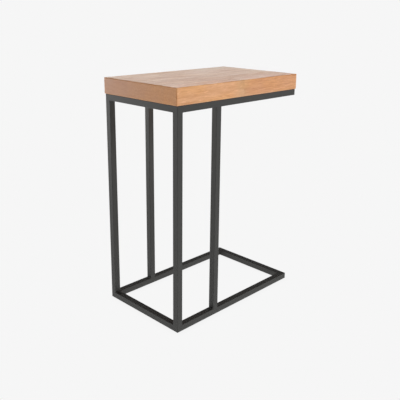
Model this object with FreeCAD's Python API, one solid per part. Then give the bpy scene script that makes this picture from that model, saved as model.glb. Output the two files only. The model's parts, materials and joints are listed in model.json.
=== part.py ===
import FreeCAD, Part
import math
import os

# C-shaped side table: a thick oak top on a welded frame of square steel tube.
#
# The frame is two mitred rings of tube, a base ring near the floor and a top
# ring under the oak, joined by four uprights. Two uprights stand on the closed
# end's corners and two stand part of the way along the long rails, so the
# other end of both rings is free and slides over a seat.
#
# Millimetres, +Z up. The origin is on the floor under the middle of the table.
# +X points to the open end, -X to the closed end and -Y to the front.

# ---- Oak top ---------------------------------------------------------------
TOP_LENGTH = 458.0            # along X
TOP_WIDTH = 277.0             # along Y
TOP_THICKNESS = 42.0
TOP_EDGE_RADIUS = 2.0         # eased arrises all round
STAVE_ROWS = 6                # rows of staves, edge-glued side by side
# Where each row's two staves butt end to end, from the middle of the length,
# from the back row to the front row.
BUTT_OFFSETS = (58.0, -86.0, 97.0, -52.0, 31.0, 4.0)

# ---- Steel frame -----------------------------------------------------------
FRAME_HEIGHT = 582.0          # underside of the base ring to the oak
END_OVERHANG = 3.0            # oak past the frame at each end
SIDE_OVERHANG = 1.5           # oak past the frame at each long side
TUBE = 17.0                   # square tube, outside
TUBE_WALL = 1.2
TUBE_RADIUS = 1.2             # outside corners of the tube
TUBE_BEND_MIN = 0.3           # smallest inside corner a drawn tube has
MID_UPRIGHT_SETBACK = 131.5   # closed end's outer face to the mid uprights
WELD_LEG = 2.0                # fillet welds in the inner corners
WELD_CROWN = 0.62             # height of a bead's crown, in legs along each face

# ---- Corner plates that carry the oak -----------------------------------------
PLATE_THICKNESS = 2.5
PLATE_HOLE_INSET = 13.0       # screw's centre from each rail's inner face
PLATE_EDGE_MARGIN = 10.0      # screw's centre to the plate's sloping edge
PLATE_TIP = 6.0               # the two sharp tips are cropped to this height
SLOT_CLEARANCE = 0.4          # slot's side to the screw's shank
SLOT_TRAVEL = 4.0             # room for the oak to move across its grain

# ---- Wood screws --------------------------------------------------------------
SCREW_SHANK_DIAMETER = 4.2
SCREW_HEAD_DIAMETER = 8.4
SCREW_HEAD_HEIGHT = 2.8
SCREW_LENGTH = 32.0           # under the head
SCREW_POINT = 3.5             # tapered tip
SCREW_RECESS_WIDTH = 1.0
SCREW_RECESS_SPAN = 4.4
SCREW_RECESS_DEPTH = 1.5
PILOT_CLEARANCE = 0.05        # shank to the side of its hole in the oak
PILOT_SPARE_DEPTH = 1.0       # hole past the screw's tip

# ---- Floor glides ---------------------------------------------------------------
GLIDE_PROUD = 1.5             # nylon disc between the base ring and the floor
GLIDE_DIAMETER = 12.0
GLIDE_STEM_DIAMETER = 5.8     # circle round the cross-shaped stem
GLIDE_STEM_CLEARANCE = 0.1    # stem to the side of its hole in the tube
GLIDE_RIB = 1.6               # thickness of the stem's two crossed ribs
GLIDE_BARB_OVERLAP = 0.45     # barb past the hole's edge
GLIDE_BARB_GAP = 0.1          # barb above the tube's inner face
GLIDE_BARB_HEIGHT = 4.0
GLIDE_TIP_WIDTH = 3.6
GLIDE_INSET = 28.0            # glide's centre from each end of the long rails

# ---- Sizes that follow ------------------------------------------------------------
FRAME_LENGTH = TOP_LENGTH - 2 * END_OVERHANG
FRAME_WIDTH = TOP_WIDTH - 2 * SIDE_OVERHANG
INNER_LENGTH = FRAME_LENGTH - 2 * TUBE
INNER_WIDTH = FRAME_WIDTH - 2 * TUBE
TUBE_BORE = TUBE - 2 * TUBE_WALL
TUBE_BORE_RADIUS = max(TUBE_RADIUS - TUBE_WALL, TUBE_BEND_MIN)
TUBE_FLAT = TUBE - 2 * TUBE_RADIUS

BASE_Z = GLIDE_PROUD                    # underside of the base ring
UPRIGHT_FOOT_Z = BASE_Z + TUBE
TOP_RING_Z = BASE_Z + FRAME_HEIGHT - TUBE
OAK_Z = BASE_Z + FRAME_HEIGHT
PLATE_Z = OAK_Z - PLATE_THICKNESS       # underside of the corner plates

CORNER_UPRIGHT_X = -(FRAME_LENGTH - TUBE) / 2
MID_UPRIGHT_X = -FRAME_LENGTH / 2 + MID_UPRIGHT_SETBACK + TUBE / 2
UPRIGHT_Y = (FRAME_WIDTH - TUBE) / 2

SCREW_X = INNER_LENGTH / 2 - PLATE_HOLE_INSET
SCREW_Y = INNER_WIDTH / 2 - PLATE_HOLE_INSET
PILOT_DEPTH = SCREW_LENGTH - PLATE_THICKNESS + PILOT_SPARE_DEPTH
GLIDE_X = FRAME_LENGTH / 2 - GLIDE_INSET
GLIDE_HOLE_RADIUS = GLIDE_STEM_DIAMETER / 2 + GLIDE_STEM_CLEARANCE

FRONT, BACK = -1, 1
CLOSED_END, OPEN_END = -1, 1
ENDS = (CLOSED_END, OPEN_END)
SIDES = (FRONT, BACK)
OVERCUT = 1.0                           # how far a cutter runs past what it cuts


def vec(x, y, z=0.0):
    return FreeCAD.Vector(x, y, z)


def export(name, solids):
    """Write one node: a single solid, or a group of separate ones."""
    shape = solids[0] if len(solids) == 1 else Part.makeCompound(solids)
    shape.exportStep("parts/" + name + ".step")


def polygon(points):
    return Part.Face(Part.makePolygon(points + points[:1]))


# ---- Square tube --------------------------------------------------------------------
def upright_edges(shape):
    return [e for e in shape.Edges if e.BoundBox.ZLength > e.BoundBox.DiagonalLength / 2]


def square_bar(side, radius, length):
    """A square bar with rounded long edges, centred on the Z axis, from Z = 0 up."""
    bar = Part.makeBox(side, side, length, vec(-side / 2, -side / 2))
    return bar.makeFillet(radius, upright_edges(bar))


def rail_bar(side, radius, run, reach, z):
    """A bar along X in a front rail's place, over-long by OVERCUT at both ends."""
    bar = square_bar(side, radius, run + 2 * OVERCUT)
    bar.rotate(vec(0, 0), vec(0, 1, 0), 90)
    bar.translate(vec(-run / 2 - OVERCUT, TUBE / 2 - reach, z + TUBE / 2))
    return bar


def mitre_wedge(run, reach, z):
    """The space between the two 45 degree cuts at a front rail's ends."""
    half_run = run / 2
    plan = []
    for way, inset in ((-1, -OVERCUT), (1, -OVERCUT), (1, TUBE + OVERCUT), (-1, TUBE + OVERCUT)):
        plan.append(vec(way * (half_run - inset), inset - reach, z - OVERCUT))
    return polygon(plan).extrude(vec(0, 0, TUBE + 2 * OVERCUT))


def round_cornered_slab(run, reach, z):
    """A slab behind a front rail's outer face, its two front corners rounded like the uprights."""
    slab = Part.makeBox(run, reach, TUBE + 2 * OVERCUT, vec(-run / 2, -reach, z - OVERCUT))
    return slab.makeFillet(TUBE_RADIUS, [e for e in upright_edges(slab) if e.BoundBox.YMax < 0])


def mitred_rail(run, reach, z, seams):
    """One hollow rail, as if on the front of a ring: run long, its outer face at Y = -reach.

    Each seam is the low X, length and low Z of a stretch of weld metal that squares up
    the tube's rounded edges under an upright, ground flush with its faces.
    """
    body = rail_bar(TUBE, TUBE_RADIUS, run, reach, z)
    for low_x, length, low_z in seams:
        body = body.fuse(Part.makeBox(length, TUBE, TUBE_RADIUS, vec(low_x, -reach, low_z)))
    body = body.common(mitre_wedge(run, reach, z)).common(round_cornered_slab(run, reach, z))
    body = body.cut(rail_bar(TUBE_BORE, TUBE_BORE_RADIUS, run, reach, z))
    return body.removeSplitter().Solids[0]


def ring(z, seam_z):
    """The four rails of a ring by their sides: z is its underside, seam_z that of its seams."""
    corner_seam = TUBE - TUBE_RADIUS
    half_length, half_width = FRAME_LENGTH / 2, FRAME_WIDTH / 2
    long_seams = [
        (-half_length, corner_seam, seam_z),
        (MID_UPRIGHT_X - TUBE_FLAT / 2, TUBE_FLAT, seam_z),
    ]
    end_seams = [
        (-half_width, corner_seam, seam_z),
        (half_width - corner_seam, corner_seam, seam_z),
    ]
    front = mitred_rail(FRAME_LENGTH, half_width, z, long_seams)
    closed_end = mitred_rail(FRAME_WIDTH, half_length, z, end_seams)
    open_end = mitred_rail(FRAME_WIDTH, half_length, z, [])
    closed_end.rotate(vec(0, 0), vec(0, 0, 1), -90)
    open_end.rotate(vec(0, 0), vec(0, 0, 1), 90)
    back = front.mirror(vec(0, 0), vec(0, 1, 0))
    return {"front": front, "back": back, "closed_end": closed_end, "open_end": open_end}


def glide_hole(end, row):
    x, y = end * GLIDE_X, row * UPRIGHT_Y
    return Part.makeCylinder(GLIDE_HOLE_RADIUS, TUBE_WALL + 2 * OVERCUT, vec(x, y, BASE_Z - OVERCUT))


def drilled(rail, row):
    """A long base rail with the holes that its two glides push into."""
    for end in ENDS:
        rail = rail.cut(glide_hole(end, row))
    return rail


def upright(x, row):
    tube = square_bar(TUBE, TUBE_RADIUS, TOP_RING_Z - UPRIGHT_FOOT_Z)
    tube = tube.cut(square_bar(TUBE_BORE, TUBE_BORE_RADIUS, TOP_RING_Z - UPRIGHT_FOOT_Z))
    tube.translate(vec(x, row * UPRIGHT_Y, UPRIGHT_FOOT_Z))
    return tube


# ---- Welds ------------------------------------------------------------------------------
def bead(middle, face_a, face_b, length):
    """A fillet bead in the corner of two faces; face_a and face_b point along them."""
    run = face_a.cross(face_b)
    start = middle - run * (length / 2)
    toe_a = start + face_a * WELD_LEG
    toe_b = start + face_b * WELD_LEG
    crown = start + (face_a + face_b) * (WELD_LEG * WELD_CROWN)
    section = [
        Part.LineSegment(start, toe_a).toShape(),
        Part.Arc(toe_a, crown, toe_b).toShape(),
        Part.LineSegment(toe_b, start).toShape(),
    ]
    return Part.Face(Part.Wire(section)).extrude(run * length)


def mitre_beads(low, high):
    """One upright bead in each inner corner of a ring, from low to high."""
    beads = []
    for end in ENDS:
        for row in SIDES:
            middle = vec(end * INNER_LENGTH / 2, row * INNER_WIDTH / 2, (low + high) / 2)
            beads.append(bead(middle, vec(-end, 0), vec(0, -row), high - low))
    return beads


def upright_beads(z, up):
    """Beads across the rails beside each upright, on a ring face at z; up is 1 or -1."""
    beads = []
    for row in SIDES:
        y = row * UPRIGHT_Y
        for x, ways in ((CORNER_UPRIGHT_X, (OPEN_END,)), (MID_UPRIGHT_X, ENDS)):
            for way in ways:
                beads.append(bead(vec(x + way * TUBE / 2, y, z), vec(way, 0), vec(0, 0, up), TUBE_FLAT))
        inner_y = y - row * TUBE / 2
        beads.append(bead(vec(CORNER_UPRIGHT_X, inner_y, z), vec(0, -row), vec(0, 0, up), TUBE_FLAT))
    return beads


def plate_beads():
    """Two beads under each corner plate, one against each rail, beside its screw."""
    length = 2 * (PLATE_HOLE_INSET - 2 * WELD_LEG)
    down = vec(0, 0, -1)
    beads = []
    for end in ENDS:
        for row in SIDES:
            by_long_rail = vec(end * SCREW_X, row * INNER_WIDTH / 2, PLATE_Z)
            by_end_rail = vec(end * INNER_LENGTH / 2, row * SCREW_Y, PLATE_Z)
            beads.append(bead(by_long_rail, vec(0, -row), down, length))
            beads.append(bead(by_end_rail, vec(-end, 0), down, length))
    return beads


# ---- Corner plates and screws ---------------------------------------------------------------
def screw_slot(end, row):
    """The plate's slot, longest across the oak's grain."""
    radius = SCREW_SHANK_DIAMETER / 2 + SLOT_CLEARANCE
    height = PLATE_THICKNESS + 2 * OVERCUT
    corner = vec(end * SCREW_X, row * SCREW_Y, PLATE_Z - OVERCUT)
    half = SLOT_TRAVEL / 2
    slot = Part.makeBox(2 * radius, 2 * half, height, corner - vec(radius, half))
    for way in (-1, 1):
        slot = slot.fuse(Part.makeCylinder(radius, height, corner + vec(0, way * half)))
    return slot.removeSplitter()


def corner_plate(end, row):
    """A gusset in one inner corner of the top ring, its upper face level with the tube."""
    slope = 2 * PLATE_HOLE_INSET + PLATE_EDGE_MARGIN * math.sqrt(2)
    reach = slope - PLATE_TIP
    corners = [(0, 0), (reach, 0), (reach, PLATE_TIP), (PLATE_TIP, reach), (0, reach)]
    outline = [
        vec(end * (INNER_LENGTH / 2 - a), row * (INNER_WIDTH / 2 - b), PLATE_Z) for a, b in corners
    ]
    return polygon(outline).extrude(vec(0, 0, PLATE_THICKNESS)).cut(screw_slot(end, row))


def screw(end, row):
    """A pan-head wood screw, up through the plate and into the oak."""
    head = SCREW_HEAD_DIAMETER / 2
    shank = SCREW_SHANK_DIAMETER / 2
    low = PLATE_Z - SCREW_HEAD_HEIGHT
    tip = PLATE_Z + SCREW_LENGTH
    half_section = [
        (0, low),
        (head, low),
        (head, PLATE_Z),
        (shank, PLATE_Z),
        (shank, tip - SCREW_POINT),
        (0, tip),
    ]
    body = polygon([vec(radius, 0, z) for radius, z in half_section])
    body = body.revolve(vec(0, 0), vec(0, 0, 1), 360)
    body.translate(vec(end * SCREW_X, row * SCREW_Y))
    span, width = SCREW_RECESS_SPAN, SCREW_RECESS_WIDTH
    for along_x, along_y in ((span, width), (width, span)):
        corner = vec(end * SCREW_X - along_x / 2, row * SCREW_Y - along_y / 2, low - OVERCUT)
        body = body.cut(Part.makeBox(along_x, along_y, SCREW_RECESS_DEPTH + OVERCUT, corner))
    return body


# ---- Oak staves ------------------------------------------------------------------------------
def pilot_hole(end, row):
    radius = SCREW_SHANK_DIAMETER / 2 + PILOT_CLEARANCE
    place = vec(end * SCREW_X, row * SCREW_Y, OAK_Z - OVERCUT)
    return Part.makeCylinder(radius, PILOT_DEPTH + OVERCUT, place)


def oak_block():
    """The whole top with its arrises eased and its screw holes drilled."""
    block = Part.makeBox(
        TOP_LENGTH, TOP_WIDTH, TOP_THICKNESS, vec(-TOP_LENGTH / 2, -TOP_WIDTH / 2, OAK_Z)
    )
    block = block.makeFillet(TOP_EDGE_RADIUS, block.Edges)
    for end in ENDS:
        for row in SIDES:
            block = block.cut(pilot_hole(end, row))
    return block


def staves():
    """Cut the block into its rows, and each row at its butt joint."""
    block = oak_block()
    row_width = TOP_WIDTH / STAVE_ROWS
    pieces = []
    for i in range(STAVE_ROWS):
        back_y = TOP_WIDTH / 2 - i * row_width
        butt_x = BUTT_OFFSETS[i % len(BUTT_OFFSETS)]
        for side, x0, x1 in (("left", -TOP_LENGTH / 2, butt_x), ("right", butt_x, TOP_LENGTH / 2)):
            slot = Part.makeBox(x1 - x0, row_width, TOP_THICKNESS, vec(x0, back_y - row_width, OAK_Z))
            pieces.append((f"oak_stave_{i + 1}_{side}", block.common(slot).Solids[0]))
    return pieces


# ---- Glides ------------------------------------------------------------------------------------
def glide_rib():
    """One rib of a glide's stem, across X on the Z axis, with a barb at each edge."""
    stem = math.sqrt((GLIDE_STEM_DIAMETER / 2) ** 2 - (GLIDE_RIB / 2) ** 2)
    barb = GLIDE_HOLE_RADIUS + GLIDE_BARB_OVERLAP
    barb_z = BASE_Z + TUBE_WALL + GLIDE_BARB_GAP
    tip_z = barb_z + GLIDE_BARB_HEIGHT
    edge = [(stem, BASE_Z / 2), (stem, barb_z), (barb, barb_z), (GLIDE_TIP_WIDTH / 2, tip_z)]
    outline = edge + [(-x, z) for x, z in reversed(edge)]
    return polygon([vec(x, -GLIDE_RIB / 2, z) for x, z in outline]).extrude(vec(0, GLIDE_RIB))


def glide(end, row):
    """A push-in nylon glide: a disc on the floor and a barbed cross-shaped stem in the tube."""
    body = Part.makeCylinder(GLIDE_DIAMETER / 2, BASE_Z)
    for turn in (0, 90):
        rib = glide_rib()
        rib.rotate(vec(0, 0), vec(0, 0, 1), turn)
        body = body.fuse(rib)
    body.translate(vec(end * GLIDE_X, row * UPRIGHT_Y))
    return body.removeSplitter().Solids[0]


# ---- Every node ----------------------------------------------------------------------------------
def build():
    os.makedirs("parts", exist_ok=True)
    end_names = {CLOSED_END: "closed_end", OPEN_END: "open_end"}
    side_names = {FRONT: "front", BACK: "back"}

    base_ring = ring(BASE_Z, UPRIGHT_FOOT_Z - TUBE_RADIUS)
    top_ring = ring(TOP_RING_Z, TOP_RING_Z)
    for row, side in side_names.items():
        base_ring[side] = drilled(base_ring[side], row)
        export(f"{side}_corner_upright", [upright(CORNER_UPRIGHT_X, row)])
        export(f"{side}_mid_upright", [upright(MID_UPRIGHT_X, row)])
    for side in base_ring:
        export(f"base_{side}_rail", [base_ring[side]])
        export(f"top_{side}_rail", [top_ring[side]])

    for end, name in end_names.items():
        for row, side in side_names.items():
            export(f"{name}_{side}_plate", [corner_plate(end, row)])
            export(f"{name}_{side}_glide", [glide(end, row)])

    export("base_corner_welds", mitre_beads(BASE_Z + TUBE_RADIUS, UPRIGHT_FOOT_Z - TUBE_RADIUS))
    export("top_corner_welds", mitre_beads(TOP_RING_Z + TUBE_RADIUS, PLATE_Z))
    export("upright_foot_welds", upright_beads(UPRIGHT_FOOT_Z, 1))
    export("upright_head_welds", upright_beads(TOP_RING_Z, -1))
    export("plate_welds", plate_beads())
    export("top_screws", [screw(end, row) for end in ENDS for row in SIDES])

    for name, piece in staves():
        export(name, [piece])


build()
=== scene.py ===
import json
import math
import random
from types import SimpleNamespace

import bmesh
import bpy
from mathutils import Matrix, Vector


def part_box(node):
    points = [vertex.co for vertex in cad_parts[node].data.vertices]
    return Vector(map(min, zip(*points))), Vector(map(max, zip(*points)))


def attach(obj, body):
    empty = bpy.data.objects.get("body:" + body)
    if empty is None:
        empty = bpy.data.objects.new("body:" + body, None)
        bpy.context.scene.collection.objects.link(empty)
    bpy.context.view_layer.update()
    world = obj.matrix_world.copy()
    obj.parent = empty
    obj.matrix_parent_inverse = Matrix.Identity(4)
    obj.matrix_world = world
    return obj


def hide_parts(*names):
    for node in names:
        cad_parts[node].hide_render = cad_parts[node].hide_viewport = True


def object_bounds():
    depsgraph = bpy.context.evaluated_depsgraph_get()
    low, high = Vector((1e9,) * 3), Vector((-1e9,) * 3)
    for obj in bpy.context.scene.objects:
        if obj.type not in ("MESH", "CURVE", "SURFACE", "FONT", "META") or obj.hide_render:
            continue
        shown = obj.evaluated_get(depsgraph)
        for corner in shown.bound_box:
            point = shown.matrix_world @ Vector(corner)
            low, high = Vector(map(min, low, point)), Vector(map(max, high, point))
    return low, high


# C-shaped side table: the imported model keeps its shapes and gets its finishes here,
# and the weld beads and screws are modelled again with their fine form.
# Metres, +Z up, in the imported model's own frame. Colours are linear.

MM = 0.001
RIGHT_ANGLE = math.radians(90)

# ---- Camera ----------------------------------------------------------------------
CAMERA_PLACE = (-1.1206, -1.0942, 0.7993)
CAMERA_AZIMUTH = math.radians(-45.365)
CAMERA_ELEVATION = math.radians(15.231)
CAMERA_ROLL = math.radians(0.622)
SENSOR_WIDTH_MM = 36.0
CAMERA_LENS_MM = 52.1
CAMERA_SHIFT_Y = -0.085

# ---- Studio ----------------------------------------------------------------------
BACKDROP_LEVEL = 0.922        # the plain pale tone round the table
BANK_LEVEL = 1.74             # a broad bank of light low down behind the table
BANK_AZIMUTH = math.radians(62)
BANK_FOCUS = 2.0              # power of the cosine by which the bank fades sideways
FILL_LEVEL = 0.03             # the same band, all round
BAND_LOW = 0.10               # sine of the elevation where the band starts to fade
BAND_HIGH = 0.40              # and where it has faded out
FLOOR_RADIUS = 30.0
FLOOR_SIDES = 96
FLOOR_LIGHT = 1.07            # the floor's tone as a light
CONTACT_REACH = 0.02          # how far the table's faint contact shadow spreads
CONTACT_LEVEL = 0.87          # floor tone right under a rail
CONTACT_SAMPLES = 8
# Each lamp's place, the point it faces, the lengths of its sides and its watts.
FRONT_LAMP = ((0.8, -2.4, 1.6), (0.0, 0.0, 0.45), (1.2, 0.8), 27.8)
BACK_LAMP = ((-0.7, 2.2, 0.35), (-0.1, 0.0, 0.30), (0.8, 0.6), 17.8)
TOP_LAMP = ((0.0, 0.0, 2.4), (0.0, 0.0, 0.6), (0.5, 0.35), 16.9)

# ---- Oak: tones --------------------------------------------------------------------
OAK_LIGHT = (0.775, 0.438, 0.198)
OAK_DARK = (0.545, 0.214, 0.052)
OAK_PORE = (0.26, 0.115, 0.044)
OAK_FLECK = (0.98, 0.62, 0.34)          # the rays that show as short pale flecks
END_TINT_BACK = (0.69, 0.51, 0.32)      # end grain is darker: at the closed end's back corner,
END_TINT_FRONT = (0.89, 0.73, 0.395)    # at its front corner
END_TINT_AND_PAINTED_SHEEN_OPEN = (0.78, 0.68, 0.52)      # and at the open end, with a painted sheen that makes it paler and bluer
TOP_PAINTED_SHEEN = (0.985, 1.02, 1.17)          # painted sheen: the top face is made paler and bluer, standing in for light glancing off its lacquer
DRIFT_WARM = (1.02, 0.99, 0.92)         # the board's tint wanders between these
DRIFT_COOL = (0.995, 0.99, 1.10)
# Each stave's tone, how much warmer than the rest it is, and its grain's strength on top.
STAVE_LOOKS = {
    "oak_stave_1_left": (1.05, -0.04, 0.8),
    "oak_stave_1_right": (0.88, -0.04, 0.9),
    "oak_stave_2_left": (1.03, 0.00, 1.0),
    "oak_stave_2_right": (0.98, 0.01, 1.0),
    "oak_stave_3_left": (1.01, 0.00, 1.0),
    "oak_stave_3_right": (1.01, 0.00, 1.0),
    "oak_stave_4_left": (1.00, 0.02, 1.2),
    "oak_stave_4_right": (1.00, 0.00, 0.9),
    "oak_stave_5_left": (1.00, 0.05, 1.25),
    "oak_stave_5_right": (1.03, 0.02, 1.0),
    "oak_stave_6_left": (1.12, 0.055, 1.4),
    "oak_stave_6_right": (1.01, 0.13, 1.0),
}
WARMTH_IN_BLUE = 1.6          # warmth takes this much more from blue than from green
TINT_RISE = 45 * MM           # a stave's own tint comes in this far from its butt joint
TINT_ON_ENDS = 0.2            # how much of it shows on end grain
FLAT_FIGURE = 1.45            # how strongly the grain shows on top,
SIDE_FIGURE = 0.90            # on a long side
END_FIGURE = 0.65             # and on an end
LACQUER = 0.45
LACQUER_ROUGH = 0.30

# ---- Oak: where each stave lay in its log ---------------------------------------------
OAK_SEED = 11
NOISE_SHIFT = 4.0             # each stave starts anywhere in the noise, up to this far out
STAVE_TILTS = (0.9, 0.5)      # most degrees out of line with the log, about Y and about Z
PITH_ASIDE = 0.03             # most from the stave's middle to the log's pith, across it
PITH_BELOW = (0.03, 0.09)     # from the stave's underside down to the pith

# ---- Oak: grain. A scale is in features per metre, along the stave and across it ---------
RING_WIDTH = 2.7 * MM
RING_WANDER = 9 * MM          # how far the rings stray from true circles
RING_WANDER_SCALE = (3.0, 14.0, 14.0)
EARLY_RISE = (0.0, 0.10)      # part of a ring over which its dark early wood begins
EARLY_FALL = (0.55, 0.12)     # and over which it ends, given backwards so that it falls
EARLY_DEPTH = 0.28            # a depth is how far a mark takes the wood towards its own tone
STREAK_SCALE = (2.5, 150.0, 1.0)        # along the stave and from ring to ring
STREAK_RANGE = (0.38, 0.68)             # a range is the noise where a mark starts and is full
STREAK_DEPTH = 0.26
FIBRE_SCALE = (17.0, 330.0, 330.0)
FIBRE_RANGE = (0.40, 0.66)
FIBRE_DEPTH = 0.52
PORE_SCALE = (170.0, 3200.0, 3200.0)
PORE_RANGE = (0.60, 0.70)
PORE_DEPTH = 0.42
LATE_PORES = 0.25             # pores that late wood has, as a share of early wood's
RAY_SCALE = (50.0, 430.0, 430.0)
RAY_RANGE = (0.58, 0.68)
RAY_DEPTH = 0.40
DRIFT_SCALE = (10.0, 24.0, 24.0)
DRIFT_RANGE = (0.36, 0.64)
END_DEPTH = 0.20
GLUE_LINE = 0.12 * MM
GLUE_DEPTH = 0.5
FACING_RANGE = (0.60, 0.95)   # the normal's part along an axis where a face starts to count as its own
OAK_ROUGH = 0.28
DARK_ROUGH = 0.22             # added on dark grain
END_ROUGH = 0.14              # and on ends
OAK_RELIEF = 0.10 * MM
FIBRE_RELIEF = 0.35           # fibres' height, in depths of a pore

# ---- Powder coat, zinc and nylon ---------------------------------------------------------
COAT_DARK = (0.0450, 0.0445, 0.0420)
COAT_LIGHT = (0.0572, 0.0566, 0.0534)
COAT_SPECULAR = 0.32
COAT_DRIFT_SCALE = (9.0, 9.0, 9.0)
COAT_GRAIN_SCALE = (1500.0, 1500.0, 1500.0)
COAT_GRAIN_RANGE = (0.3, 0.7)
COAT_GRAIN_RELIEF = 0.035 * MM
COAT_PEEL_SCALE = (420.0, 420.0, 420.0)
COAT_PEEL_RELIEF = 0.05 * MM
COAT_ROUGH = (0.48, 0.64)
ZINC_DARK = (0.50, 0.51, 0.53)
ZINC_LIGHT = (0.68, 0.68, 0.66)
ZINC_MARK_SCALE = (700.0, 700.0, 2600.0)
ZINC_MARK_RELIEF = 0.02 * MM
ZINC_ROUGH = (0.22, 0.47)
NYLON_DARK = (0.018, 0.018, 0.019)
NYLON_LIGHT = (0.030, 0.030, 0.031)
NYLON_BLOTCH_SCALE = (260.0, 260.0, 260.0)
NYLON_GRAIN_SCALE = (2400.0, 2400.0, 2400.0)
NYLON_GRAIN_RELIEF = 0.02 * MM
NYLON_ROUGH = (0.36, 0.51)

# ---- Weld beads, shaped in lengths of the fillet's leg -------------------------------------
WELD_NODES = (
    "base_corner_welds",
    "top_corner_welds",
    "upright_foot_welds",
    "upright_head_welds",
    "plate_welds",
)
BEAD_BULGE = 0.11             # crown past the straight line between the toes, along each leg
RIPPLE_DEPTH = 0.12
RIPPLE_LAG = 0.45             # how far a ripple's middle leads its toes, in ripples
RIPPLE_PITCH = 1.3 * MM
BEAD_STEP = 0.22 * MM         # between cross-sections
BEAD_FACE_STEPS = 8           # across the bead's face
BEAD_END = 1.1 * MM           # length of the rounded ends
BEAD_END_SIZE = 0.35          # of the full section, at the very end

# ---- Screws ---------------------------------------------------------------------------------
HEAD_HEIGHT = 2.8 * MM
HEAD_FLAT = 0.62              # flat middle of a pan head, of its radius
HEAD_RIM = 1.1 * MM           # height of the straight rim over the plate
DOME_STEPS = 6                # from the head's flat to its rim
SHANK_RADIUS = 2.1 * MM
THREAD_ROOT = 1.5 * MM        # radius between the threads
THREAD_START = 5.0 * MM       # from under the head
THREAD_PITCH = 1.8 * MM
THREAD_FLANKS = 0.5           # part of the pitch that a thread's two flanks take
POINT_LENGTH = 3.5 * MM
SCREW_SIDES = 24
RINGS_PER_PITCH = 6
RECESS_SPAN = 4.4 * MM
RECESS_WIDTH = 1.0 * MM
RECESS_DEPTH = 1.5 * MM
RECESS_TAPER = 0.6            # size of the recess's floor, of its mouth

# ---- Edges ----------------------------------------------------------------------------------
SHARP_ANGLE = math.radians(50)
SAME_POINT = 0.001 * MM       # corners this near each other are one
GLIDE_ROUNDING = 0.45 * MM
PLATE_ROUNDING = 0.25 * MM
ROUNDING_STEPS = 4

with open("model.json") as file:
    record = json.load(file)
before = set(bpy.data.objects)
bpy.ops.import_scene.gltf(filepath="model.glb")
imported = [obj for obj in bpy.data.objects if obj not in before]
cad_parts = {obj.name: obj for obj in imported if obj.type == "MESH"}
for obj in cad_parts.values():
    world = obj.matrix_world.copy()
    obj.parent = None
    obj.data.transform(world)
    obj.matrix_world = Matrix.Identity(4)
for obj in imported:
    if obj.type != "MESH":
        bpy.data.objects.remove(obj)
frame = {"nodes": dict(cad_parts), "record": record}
cad_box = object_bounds()


# ---- Node graphs ---------------------------------------------------------------------
def node(tree, kind, inputs=None, **settings):
    """Add a node. Each input is a socket to link, or a value to set."""
    made = tree.nodes.new("ShaderNode" + kind)
    for name, value in settings.items():
        setattr(made, name, value)
    for key, value in (inputs or {}).items():
        if isinstance(value, bpy.types.NodeSocket):
            tree.links.new(value, made.inputs[key])
        else:
            made.inputs[key].default_value = value
    return made


def calc(tree, operation, a, b=0.0, c=0.0):
    return node(tree, "Math", {0: a, 1: b, 2: c}, operation=operation).outputs[0]


def spread(tree, value, low, high):
    """Low where value is 0 and high where it is 1."""
    return calc(tree, "MULTIPLY_ADD", value, high - low, low)


def fade(tree, value, low, high, to_low=0.0, to_high=1.0):
    """Smooth step of value from low to high."""
    inputs = {"Value": value, "From Min": low, "From Max": high, "To Min": to_low, "To Max": to_high}
    return node(tree, "MapRange", inputs, interpolation_type="SMOOTHSTEP").outputs["Result"]


def mix(tree, factor, a, b, blend="MIX"):
    inputs = {0: factor, 6: a, 7: b}
    return node(tree, "Mix", inputs, data_type="RGBA", blend_type=blend).outputs[2]


def scaled(tree, vector, scale, offset=(0.0, 0.0, 0.0)):
    inputs = {"Vector": vector, "Location": offset, "Scale": scale}
    return node(tree, "Mapping", inputs).outputs["Vector"]


def noise(tree, vector, detail=2.0, roughness=0.5):
    """Noise with one feature per unit of the vector."""
    inputs = {"Vector": vector, "Scale": 1.0, "Detail": detail, "Roughness": roughness}
    return node(tree, "TexNoise", inputs).outputs["Fac"]


def bump(tree, height, distance, strength, normal=None):
    inputs = {"Height": height, "Distance": distance, "Strength": strength}
    if normal is not None:
        inputs["Normal"] = normal
    return node(tree, "Bump", inputs).outputs["Normal"]


def rgba(colour):
    return (*colour, 1.0)


def grey(level):
    return rgba([level] * 3)


def empty_tree(owner):
    """The node tree of a material or a world, with nothing in it."""
    owner.use_nodes = True
    owner.node_tree.nodes.clear()
    return owner.node_tree


def new_material(name):
    """A material with its tree, its shader and its coordinates in metres."""
    material = bpy.data.materials.new(name)
    tree = empty_tree(material)
    shader = node(tree, "BsdfPrincipled")
    output = node(tree, "OutputMaterial", {"Surface": shader.outputs[0]})
    output.is_active_output = True
    place = node(tree, "TexCoord").outputs["Object"]
    return material, tree, shader, place


# ---- Oak -----------------------------------------------------------------------------------
def sawn_from_log(stave, rng):
    """A stave's place in the noise, its tilt to the log and where the log's pith passes it."""
    low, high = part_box(stave)
    shift = [rng.uniform(-NOISE_SHIFT, NOISE_SHIFT) for _ in range(3)]
    tilt_y, tilt_z = [math.radians(rng.uniform(-most, most)) for most in STAVE_TILTS]
    pith_y = (low.y + high.y) / 2 + rng.uniform(-PITH_ASIDE, PITH_ASIDE)
    pith_z = low.z - rng.uniform(*PITH_BELOW)
    return shift, (0.0, tilt_y, tilt_z), pith_y, pith_z


def facings(tree):
    """How far a face is end grain, side grain or the top, each from 0 to 1."""
    normal = node(tree, "NewGeometry").outputs["Normal"]
    facing = node(tree, "SeparateXYZ", {0: normal}).outputs
    return SimpleNamespace(
        end=fade(tree, calc(tree, "ABSOLUTE", facing["X"]), *FACING_RANGE),
        side=fade(tree, calc(tree, "ABSOLUTE", facing["Y"]), *FACING_RANGE),
        top=fade(tree, facing["Z"], *FACING_RANGE),
    )


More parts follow.
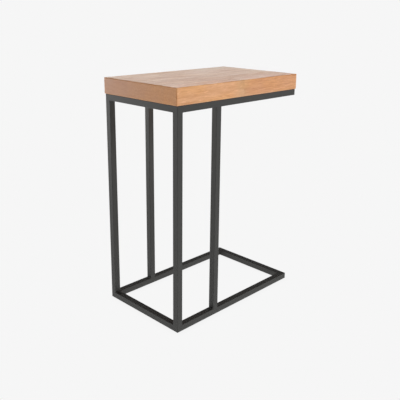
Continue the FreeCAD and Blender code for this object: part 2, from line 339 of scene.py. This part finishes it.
def ring_radius(tree, turned, axes, shift, pith_y, pith_z):
    """Distance from the log's pith, straying as the rings do."""
    wander = noise(tree, scaled(tree, turned, RING_WANDER_SCALE, shift))
    across = calc(tree, "SUBTRACT", axes["Y"], pith_y)
    above = calc(tree, "SUBTRACT", axes["Z"], pith_z)
    squares = calc(tree, "ADD", calc(tree, "POWER", across, 2.0), calc(tree, "POWER", above, 2.0))
    return calc(tree, "MULTIPLY_ADD", wander, RING_WANDER, calc(tree, "SQRT", squares))


def sawn_wood(tree, place, stave, rng):
    """The fields that a stave's oak is mixed from, laid out in the log that it came from."""
    shift, tilt, pith_y, pith_z = sawn_from_log(stave, rng)
    turned = node(tree, "Mapping", {"Vector": place, "Rotation": tilt}).outputs["Vector"]
    wood = facings(tree)
    wood.axes = node(tree, "SeparateXYZ", {0: turned}).outputs
    radius = ring_radius(tree, turned, wood.axes, shift, pith_y, pith_z)
    ring = calc(tree, "FRACT", calc(tree, "DIVIDE", radius, RING_WIDTH))
    wood.early = calc(tree, "MULTIPLY", fade(tree, ring, *EARLY_RISE), fade(tree, ring, *EARLY_FALL))
    bands = node(tree, "CombineXYZ", {0: wood.axes["X"], 1: radius}).outputs[0]
    wood.streak = noise(tree, scaled(tree, bands, STREAK_SCALE, shift), roughness=0.6)
    wood.fibre = noise(tree, scaled(tree, turned, FIBRE_SCALE, shift), detail=4.0, roughness=0.75)
    wood.ray = noise(tree, scaled(tree, turned, RAY_SCALE, shift))
    pore = noise(tree, scaled(tree, turned, PORE_SCALE, shift), detail=1.0)
    share = spread(tree, wood.early, LATE_PORES, 1.0)
    wood.pores = calc(tree, "MULTIPLY", fade(tree, pore, *PORE_RANGE), share)
    return wood


def figure_strength(tree, wood, figure):
    """How strongly the grain shows on each face; on top it differs from stave to stave."""
    flat = FLAT_FIGURE * figure
    strength = spread(tree, wood.side, flat, SIDE_FIGURE)
    return calc(tree, "MULTIPLY_ADD", wood.end, END_FIGURE - flat, strength)


def dark_grain(tree, wood, strength):
    """How far the wood goes towards its dark tone, from 0 to 1."""
    streaks = fade(tree, wood.streak, *STREAK_RANGE, to_high=STREAK_DEPTH)
    fibres = fade(tree, wood.fibre, *FIBRE_RANGE, to_high=FIBRE_DEPTH)
    dark = calc(tree, "MULTIPLY_ADD", wood.early, EARLY_DEPTH, calc(tree, "ADD", streaks, fibres))
    dark = calc(tree, "MULTIPLY", dark, strength)
    return calc(tree, "MULTIPLY_ADD", wood.end, END_DEPTH, dark)


def grain_colour(tree, wood, dark, strength):
    """Light and dark wood with its pale ray flecks and dark pores."""
    colour = mix(tree, dark, rgba(OAK_LIGHT), rgba(OAK_DARK))
    flecks = calc(tree, "MULTIPLY", fade(tree, wood.ray, *RAY_RANGE), strength)
    colour = mix(tree, calc(tree, "MULTIPLY", flecks, RAY_DEPTH), colour, rgba(OAK_FLECK))
    return mix(tree, calc(tree, "MULTIPLY", wood.pores, PORE_DEPTH), colour, rgba(OAK_PORE))


def tint_ends_and_paint_sheen(tree, wood, colour):
    """Tint the ends by their place on the board, and paint a sheen on the top face and the open end."""
    low, high = cad_box
    to_back = fade(tree, wood.axes["Y"], low.y, high.y)
    to_open_with_sheen = fade(tree, wood.axes["X"], low.x, high.x)
    end_tint_and_sheen = mix(tree, to_back, rgba(END_TINT_FRONT), rgba(END_TINT_BACK))
    # Painted sheen: the open end's tint is paler and bluer than the closed end's, standing in for light
    # glancing off its lacquer.
    end_tint_and_sheen = mix(tree, to_open_with_sheen, end_tint_and_sheen, rgba(END_TINT_AND_PAINTED_SHEEN_OPEN))
    colour = mix(tree, wood.end, colour, end_tint_and_sheen, "MULTIPLY")
    # Painted sheen: the top face is made paler and bluer, standing in for light glancing off the lacquer.
    return mix(tree, wood.top, colour, rgba(TOP_PAINTED_SHEEN), "MULTIPLY")


def tint_board(tree, place, colour):
    """Let the tint wander over the whole board."""
    drift = fade(tree, noise(tree, scaled(tree, place, DRIFT_SCALE)), *DRIFT_RANGE)
    tint = mix(tree, drift, rgba(DRIFT_WARM), rgba(DRIFT_COOL))
    return mix(tree, 1.0, colour, tint, "MULTIPLY")


def glue_lines(tree, place, stave):
    """1 along the stave's glued edges, across the top and the ends, and 0 elsewhere."""
    low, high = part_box(stave)
    whole_low, whole_high = cad_box
    axes = node(tree, "SeparateXYZ", {0: place}).outputs
    lines = None
    for axis, index in (("X", 0), ("Y", 1)):
        for edge, outer in ((low[index], whole_low[index]), (high[index], whole_high[index])):
            if abs(edge - outer) < MM:
                continue
            gap = calc(tree, "ABSOLUTE", calc(tree, "SUBTRACT", axes[axis], edge))
            line = fade(tree, gap, GLUE_LINE, 0.0)
            lines = line if lines is None else calc(tree, "MAXIMUM", lines, line)
    return lines


def tint_stave(tree, wood, colour, stave):
    """Give a stave its own tone and warmth, coming in from its butt joint."""
    tone, warmth, _ = STAVE_LOOKS[stave]
    tint = (tone, tone * (1 - warmth), tone * (1 - WARMTH_IN_BLUE * warmth))
    low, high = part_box(stave)
    butt = high.x if stave.endswith("left") else low.x
    from_butt = calc(tree, "ABSOLUTE", calc(tree, "SUBTRACT", wood.axes["X"], butt))
    strength = spread(tree, wood.end, 1.0, TINT_ON_ENDS)
    strength = calc(tree, "MULTIPLY", strength, fade(tree, from_butt, 0.0, TINT_RISE))
    return mix(tree, strength, colour, rgba(tint), "MULTIPLY")


def oak(stave, rng):
    """Satin-lacquered oak, sawn from its own place in a log that lies along X."""
    material, tree, shader, place = new_material("oak_" + stave)
    wood = sawn_wood(tree, place, stave, rng)
    _, _, figure = STAVE_LOOKS[stave]
    strength = figure_strength(tree, wood, figure)
    dark = dark_grain(tree, wood, strength)

    colour = grain_colour(tree, wood, dark, strength)
    colour = tint_board(tree, place, tint_ends_and_paint_sheen(tree, wood, colour))
    glue = calc(tree, "MULTIPLY", glue_lines(tree, place, stave), GLUE_DEPTH)
    colour = mix(tree, glue, colour, rgba(OAK_PORE))
    tree.links.new(tint_stave(tree, wood, colour, stave), shader.inputs["Base Color"])

    rough = calc(tree, "MULTIPLY_ADD", dark, DARK_ROUGH, OAK_ROUGH)
    rough = calc(tree, "MULTIPLY_ADD", wood.end, END_ROUGH, rough)
    tree.links.new(rough, shader.inputs["Roughness"])
    fibres = calc(tree, "MULTIPLY", wood.fibre, FIBRE_RELIEF)
    relief = calc(tree, "SUBTRACT", fibres, wood.pores)
    tree.links.new(bump(tree, relief, OAK_RELIEF, strength=0.6), shader.inputs["Normal"])
    shader.inputs["Coat Weight"].default_value = LACQUER
    shader.inputs["Coat Roughness"].default_value = LACQUER_ROUGH
    return material


# ---- Powder coat, zinc and nylon --------------------------------------------------------------
def powder_coat():
    """Fine-textured matt powder coat over the welded frame."""
    material, tree, shader, place = new_material("powder_coat")
    drift = noise(tree, scaled(tree, place, COAT_DRIFT_SCALE), detail=3.0)
    grain = noise(tree, scaled(tree, place, COAT_GRAIN_SCALE), roughness=0.6)
    peel = noise(tree, scaled(tree, place, COAT_PEEL_SCALE))
    blend = calc(tree, "ADD", fade(tree, grain, *COAT_GRAIN_RANGE), drift)
    blend = calc(tree, "MULTIPLY", blend, 0.5)
    tree.links.new(mix(tree, blend, rgba(COAT_DARK), rgba(COAT_LIGHT)), shader.inputs["Base Color"])
    tree.links.new(spread(tree, grain, *COAT_ROUGH), shader.inputs["Roughness"])
    shader.inputs["Specular IOR Level"].default_value = COAT_SPECULAR
    fine = bump(tree, grain, COAT_GRAIN_RELIEF, strength=0.7)
    tree.links.new(bump(tree, peel, COAT_PEEL_RELIEF, 0.6, fine), shader.inputs["Normal"])
    return material


def zinc():
    """Bright zinc plate, with turning marks round each screw."""
    material, tree, shader, place = new_material("zinc_plate")
    marks = noise(tree, scaled(tree, place, ZINC_MARK_SCALE), detail=3.0)
    tree.links.new(mix(tree, marks, rgba(ZINC_DARK), rgba(ZINC_LIGHT)), shader.inputs["Base Color"])
    tree.links.new(spread(tree, marks, *ZINC_ROUGH), shader.inputs["Roughness"])
    tree.links.new(bump(tree, marks, ZINC_MARK_RELIEF, strength=0.5), shader.inputs["Normal"])
    shader.inputs["Metallic"].default_value = 1.0
    return material


def nylon():
    """Moulded black nylon, a little blotchy and satin."""
    material, tree, shader, place = new_material("nylon")
    blotch = noise(tree, scaled(tree, place, NYLON_BLOTCH_SCALE))
    grain = noise(tree, scaled(tree, place, NYLON_GRAIN_SCALE), detail=1.0)
    tree.links.new(mix(tree, blotch, rgba(NYLON_DARK), rgba(NYLON_LIGHT)), shader.inputs["Base Color"])
    tree.links.new(spread(tree, blotch, *NYLON_ROUGH), shader.inputs["Roughness"])
    tree.links.new(bump(tree, grain, NYLON_GRAIN_RELIEF, strength=0.5), shader.inputs["Normal"])
    return material


# ---- New pieces ------------------------------------------------------------------------------------
def solids(name):
    """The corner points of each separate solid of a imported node, in their stored order."""
    work = bmesh.new()
    work.from_mesh(frame["nodes"][name].data)
    bmesh.ops.remove_doubles(work, verts=work.verts, dist=SAME_POINT)
    groups, seen = [], set()
    for first in work.verts:
        if first in seen:
            continue
        seen.add(first)
        group, ahead = [], [first]
        while ahead:
            vertex = ahead.pop()
            group.append(vertex.co.copy())
            near = [edge.other_vert(vertex) for edge in vertex.link_edges]
            fresh = [other for other in near if other not in seen]
            seen.update(fresh)
            ahead.extend(fresh)
        groups.append(group)
    work.free()
    return groups


def box_of(points):
    return [[pick(point[i] for point in points) for i in range(3)] for pick in (min, max)]


def bridge(work, first, second):
    """Join two closed loops of as many points."""
    for i in range(len(first)):
        k = (i + 1) % len(first)
        work.faces.new((first[i], first[k], second[k], second[i]))


def new_piece(name, work, material):
    """An object from a bmesh, smooth but for its sharp corners, riding on the table."""
    bmesh.ops.recalc_face_normals(work, faces=work.faces)
    mesh = bpy.data.meshes.new(name)
    work.to_mesh(mesh)
    work.free()
    mesh.shade_smooth()
    mesh.set_sharp_from_angle(angle=SHARP_ANGLE)
    mesh.materials.append(material)
    piece = bpy.data.objects.new(name, mesh)
    bpy.context.scene.collection.objects.link(piece)
    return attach(piece, "root")


# ---- Weld beads ----------------------------------------------------------------------------------
def fillet_frame(points):
    """A fillet's start, the way and length it runs, and its two legs along the faces.

    The fillet fills one corner of its box, so no point lies near the corner across from it.
    """
    box = box_of(points)
    run = max(range(3), key=lambda i: box[1][i] - box[0][i])
    first, second = [i for i in range(3) if i != run]

    def emptiness(ends):
        a, b = box[ends[0]][first], box[ends[1]][second]
        return min(math.hypot(point[first] - a, point[second] - b) for point in points)

    far = max(((0, 0), (0, 1), (1, 0), (1, 1)), key=emptiness)
    start, along, leg_a, leg_b = (Vector() for _ in range(4))
    start[run], along[run] = box[0][run], box[1][run] - box[0][run]
    start[first], start[second] = box[1 - far[0]][first], box[1 - far[1]][second]
    leg_a[first] = box[far[0]][first] - start[first]
    leg_b[second] = box[far[1]][second] - start[second]
    return start, along, leg_a, leg_b


def bead_size(place, length, crown):
    """The section's size at a place along the bead; crown is 0 at the toes and 1 between them."""
    ripple = abs(math.sin(math.pi * (place / RIPPLE_PITCH - RIPPLE_LAG * crown)))
    from_end = min(place, length - place, BEAD_END) / BEAD_END
    rounded = math.sqrt(1 - (1 - from_end) ** 2)
    return (1 - RIPPLE_DEPTH * (1 - ripple)) * (BEAD_END_SIZE + (1 - BEAD_END_SIZE) * rounded)


def bead_section(work, root, leg_a, leg_b, place, length):
    """The loop round a bead at a place along it: its root, then its face from toe to toe."""
    section = [work.verts.new(root)]
    for i in range(BEAD_FACE_STEPS + 1):
        across = i / BEAD_FACE_STEPS
        crown = 4 * across * (1 - across)
        reach = leg_a * (1 - across) + leg_b * across + (leg_a + leg_b) * (BEAD_BULGE * crown)
        section.append(work.verts.new(root + reach * bead_size(place, length, crown)))
    return section


def add_bead(work, points):
    """A crowned, rippled bead in place of one plain fillet."""
    start, along, leg_a, leg_b = fillet_frame(points)
    length = along.length
    steps = round(length / BEAD_STEP)
    sections = []
    for i in range(steps + 1):
        root = start + along * (i / steps)
        sections.append(bead_section(work, root, leg_a, leg_b, length * i / steps, length))
    for before, after in zip(sections, sections[1:]):
        bridge(work, before, after)
    work.faces.new(sections[0])
    work.faces.new(reversed(sections[-1]))


def weld_beads(name, coat):
    """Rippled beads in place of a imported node's plain fillets."""
    work = bmesh.new()
    for points in solids(name):
        add_bead(work, points)
    beads = new_piece(name.removesuffix("s") + "_beads", work, coat)
    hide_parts(name)


# ---- Screws ------------------------------------------------------------------------------------------
def screw_rings(low, tip, head):
    """The rings of a screw from its head up: each has a height, a radius and a depth of thread."""
    under = low + HEAD_HEIGHT
    flat, dome = head * HEAD_FLAT, HEAD_HEIGHT - HEAD_RIM
    for i in range(DOME_STEPS + 1):
        lean = RIGHT_ANGLE * i / DOME_STEPS
        yield low + dome * (1 - math.cos(lean)), flat + (head - flat) * math.sin(lean), 0.0
    yield under, head, 0.0
    yield under, SHANK_RADIUS, 0.0
    yield under + THREAD_START, SHANK_RADIUS, 0.0
    threaded = tip - under - THREAD_START
    rings = round(threaded / THREAD_PITCH * RINGS_PER_PITCH)
    for i in range(1, rings):
        height = under + THREAD_START + threaded * i / rings
        size = min(1.0, (tip - height) / POINT_LENGTH)
        yield height, SHANK_RADIUS * size, (SHANK_RADIUS - THREAD_ROOT) * size


def add_ring(work, middle, height, radius, thread):
    """One ring of a screw; the thread's crest climbs a pitch with each turn."""
    ring = []
    for i in range(SCREW_SIDES):
        turn = i / SCREW_SIDES
        off_crest = abs((height / THREAD_PITCH - turn) % 1 - 0.5) * 2
        reach = radius - thread * min(1.0, off_crest / THREAD_FLANKS)
        angle = 2 * math.pi * turn
        around = Vector((math.cos(angle), math.sin(angle), 0.0))
        ring.append(work.verts.new(middle + around * reach + Vector((0, 0, height))))
    return ring


def cross_loop(work, middle, height, size):
    """The twelve corners of a cross-shaped recess."""
    arm, half = RECESS_SPAN / 2 * size, RECESS_WIDTH / 2 * size
    loop = []
    for x, y in ((1, 0), (0, 1), (-1, 0), (0, -1)):
        for out, side in ((half, -half), (arm, -half), (arm, half)):
            place = Vector((x * out - y * side, y * out + x * side, height))
            loop.append(work.verts.new(middle + place))
    return loop


def add_recess(work, middle, height):
    """A tapered cross in the flat of a screw's head, whose outline is still open."""
    mouth = cross_loop(work, middle, height, 1.0)
    floor = cross_loop(work, middle, height + RECESS_DEPTH, RECESS_TAPER)
    bridge(work, mouth, floor)
    work.faces.new(floor)
    rim = [edge for edge in work.edges if edge.is_boundary]
    bmesh.ops.triangle_fill(work, use_beauty=True, edges=rim)


def add_screw(work, points):
    """A pan-head wood screw with a cross recess and a thread, in place of a plain one."""
    low, high = box_of(points)
    middle = Vector(((low[0] + high[0]) / 2, (low[1] + high[1]) / 2, 0.0))
    head = (high[0] - low[0]) / 2
    rings = [add_ring(work, middle, *ring) for ring in screw_rings(low[2], high[2], head)]
    for before, after in zip(rings, rings[1:]):
        bridge(work, before, after)
    tip = work.verts.new(middle + Vector((0, 0, high[2])))
    for i in range(SCREW_SIDES):
        work.faces.new((rings[-1][i], rings[-1][(i + 1) % SCREW_SIDES], tip))
    add_recess(work, middle, low[2])


def top_screws(steel):
    """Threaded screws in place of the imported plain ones."""
    work = bmesh.new()
    for points in solids("top_screws"):
        add_screw(work, points)
    screws = new_piece("top_wood_screws", work, steel)
    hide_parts("top_screws")


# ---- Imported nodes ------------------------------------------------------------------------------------
def soften(name, width):
    """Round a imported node's sharp edges."""
    thing = frame["nodes"][name]
    thing.modifiers.new("joined_corners", "WELD").merge_threshold = SAME_POINT
    rounding = thing.modifiers.new("rounding", "BEVEL")
    rounding.width = width
    rounding.segments = ROUNDING_STEPS
    rounding.limit_method = "ANGLE"
    rounding.angle_limit = SHARP_ANGLE
    rounding.harden_normals = True


def finish_nodes(finishes):
    """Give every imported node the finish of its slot, and round the glides and plates."""
    rng = random.Random(OAK_SEED)
    slots = {part["node"]: part["material_slot"] for part in frame["record"]["subparts"]}
    for name in sorted(frame["nodes"]):
        slot = slots[name]
        mesh = frame["nodes"][name].data
        mesh.materials.clear()
        mesh.materials.append(oak(name, rng) if slot == "oak" else finishes[slot])
        if slot == "nylon":
            soften(name, GLIDE_ROUNDING)
        if name.endswith("_plate"):
            soften(name, PLATE_ROUNDING)


# ---- Studio and camera -------------------------------------------------------------------------
def seen_by_camera(tree):
    """1 for what the camera sees, and 0 where the surface only gives light."""
    return node(tree, "LightPath").outputs["Is Camera Ray"]


def make_world():
    """A plain pale surround for the camera; as light, a low band, brightest behind the table."""
    world = bpy.data.worlds.new("studio")
    bpy.context.scene.world = world
    tree = empty_tree(world)
    way = node(tree, "TexCoord").outputs["Generated"]
    bank_way = (math.cos(BANK_AZIMUTH), math.sin(BANK_AZIMUTH), 0.0)
    facing = node(tree, "VectorMath", {0: way, 1: bank_way}, operation="DOT_PRODUCT").outputs["Value"]
    bank = calc(tree, "POWER", calc(tree, "MAXIMUM", facing, 0.0), BANK_FOCUS)
    level = calc(tree, "MULTIPLY_ADD", bank, BANK_LEVEL, FILL_LEVEL)
    up = node(tree, "SeparateXYZ", {0: way}).outputs["Z"]
    level = calc(tree, "MULTIPLY", level, fade(tree, up, BAND_LOW, BAND_HIGH, 1.0, 0.0))
    light = node(tree, "CombineColor", {0: level, 1: level, 2: level}).outputs[0]
    colour = mix(tree, seen_by_camera(tree), light, grey(BACKDROP_LEVEL))
    back = node(tree, "Background", {"Color": colour, "Strength": 1.0})
    node(tree, "OutputWorld", {"Surface": back.outputs[0]})


def make_floor():
    """A plain pale floor that keeps only a trace of the table's shadow."""
    bpy.ops.mesh.primitive_circle_add(vertices=FLOOR_SIDES, radius=FLOOR_RADIUS, fill_type="NGON")
    floor = bpy.context.object
    floor.name = "floor"
    material = bpy.data.materials.new("pale_floor")
    tree = empty_tree(material)
    open_sky = node(tree, "AmbientOcclusion", {"Distance": CONTACT_REACH}, samples=CONTACT_SAMPLES)
    tone = mix(tree, open_sky.outputs["AO"], grey(CONTACT_LEVEL), grey(BACKDROP_LEVEL))
    level = mix(tree, seen_by_camera(tree), grey(FLOOR_LIGHT), tone)
    glow = node(tree, "Emission", {"Color": level, "Strength": 1.0})
    node(tree, "OutputMaterial", {"Surface": glow.outputs[0]})
    floor.data.materials.append(material)


def area_light(name, place, target, size, energy):
    light = bpy.data.lights.new(name, "AREA")
    light.shape = "RECTANGLE"
    light.size, light.size_y = size
    light.energy = energy
    lamp = bpy.data.objects.new(name, light)
    bpy.context.scene.collection.objects.link(lamp)
    lamp.location = place
    direction = Vector(target) - Vector(place)
    lamp.rotation_euler = direction.to_track_quat("-Z", "Y").to_euler()
    return lamp


def shine_on_staves(lamp):
    """Keep a lamp's light to the oak, which shades the frame from it all but wholly."""
    staves = bpy.data.collections.new("staves")
    for name in STAVE_LOOKS:
        staves.objects.link(frame["nodes"][name])
    lamp.light_linking.receiver_collection = staves


def camera_turn():
    """The camera's turn: its azimuth round the table, its elevation and its slight roll."""
    azimuth, elevation = CAMERA_AZIMUTH, CAMERA_ELEVATION
    back = Vector((
        math.sin(azimuth) * math.cos(elevation),
        -math.cos(azimuth) * math.cos(elevation),
        math.sin(elevation),
    ))
    level = Vector((math.cos(azimuth), math.sin(azimuth), 0.0))
    upright = back.cross(level)
    right = math.cos(CAMERA_ROLL) * level + math.sin(CAMERA_ROLL) * upright
    up = math.cos(CAMERA_ROLL) * upright - math.sin(CAMERA_ROLL) * level
    return Matrix((right, up, back)).transposed().to_4x4()


def make_camera():
    data = bpy.data.cameras.new("camera")
    data.sensor_width = SENSOR_WIDTH_MM
    data.lens = CAMERA_LENS_MM
    data.shift_y = CAMERA_SHIFT_Y
    camera = bpy.data.objects.new("camera", data)
    bpy.context.scene.collection.objects.link(camera)
    camera.matrix_world = Matrix.Translation(CAMERA_PLACE) @ camera_turn()
    bpy.context.scene.camera = camera


bpy.context.scene.view_settings.view_transform = "Standard"
finishes = {"powder_coat": powder_coat(), "screw_steel": zinc(), "nylon": nylon()}
for name in WELD_NODES:
    weld_beads(name, finishes["powder_coat"])
top_screws(finishes["screw_steel"])
finish_nodes(finishes)
make_world()
make_floor()
area_light("front_light", *FRONT_LAMP)
area_light("back_light", *BACK_LAMP)
shine_on_staves(area_light("top_light", *TOP_LAMP))
make_camera()
